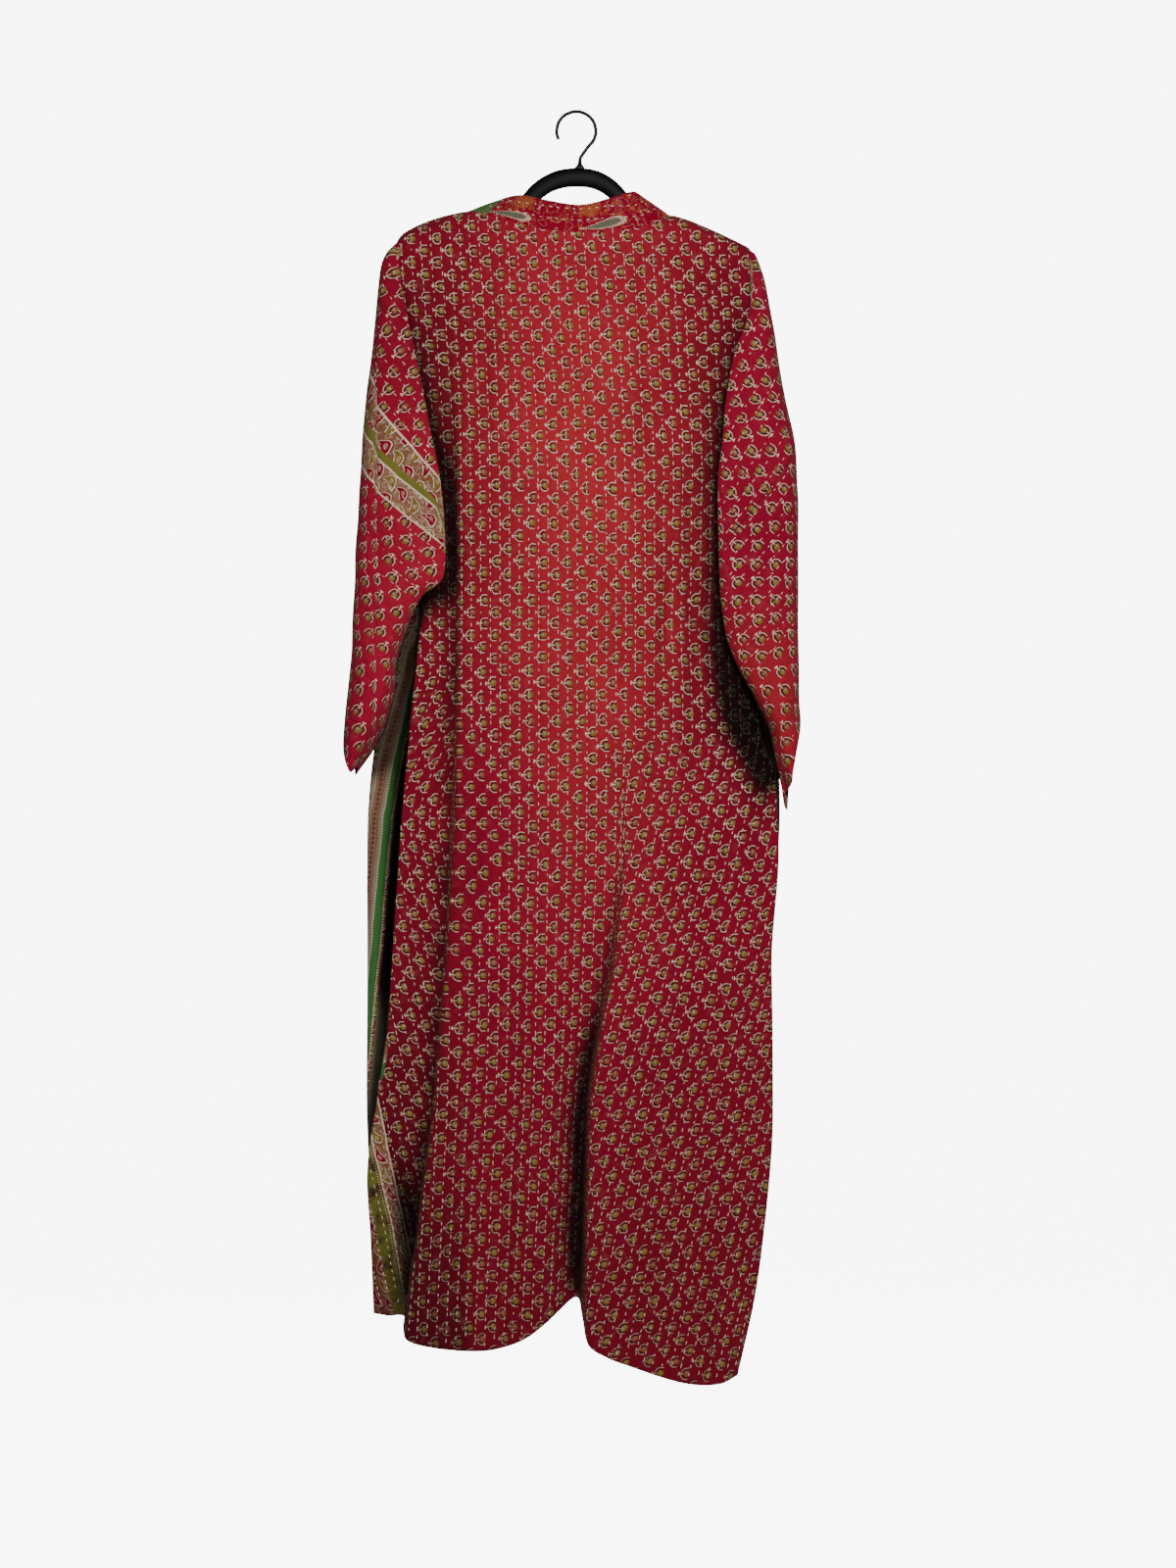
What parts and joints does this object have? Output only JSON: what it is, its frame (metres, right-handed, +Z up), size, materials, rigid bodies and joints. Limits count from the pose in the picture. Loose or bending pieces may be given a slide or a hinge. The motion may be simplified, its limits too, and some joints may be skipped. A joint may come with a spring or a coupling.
{
  "type": "long open kimono-style robe on a hanger",
  "caption": "Ankle-length open-front robe of printed, running-stitched cotton with straight sleeves and a neckband, hanging by its shoulders on a contoured hanger.",
  "frame": {"origin": "inside top of the hanger's hook, where the rod lies", "axes": "+Z up along the robe's length, -Y out of the robe's back, +X to the right as seen from behind"},
  "size_m": [0.508, 0.1081, 1.4266],
  "materials": {
    "red_cloth": "washed cotton with a small print and running stitches",
    "lining_side_cloth": "washed cotton, the inner side with another print",
    "band_cloth": "washed cotton with a scroll print",
    "green_cloth": "washed cotton",
    "hanger_plastic": "satin black",
    "hook_metal": "black"
  },
  "bodies": {
    "root": {"back_panel": "red_cloth", "front_panel_left": "lining_side_cloth", "front_panel_right": "lining_side_cloth", "sleeve_left": "red_cloth", "sleeve_right": "red_cloth", "neckband_patch": "green_cloth", "neckband_back": "band_cloth", "neckband_left": "band_cloth", "neckband_right": "band_cloth", "hanger_body": "hanger_plastic", "hanger_hook": "hook_metal"}
  },
  "joints": []
}
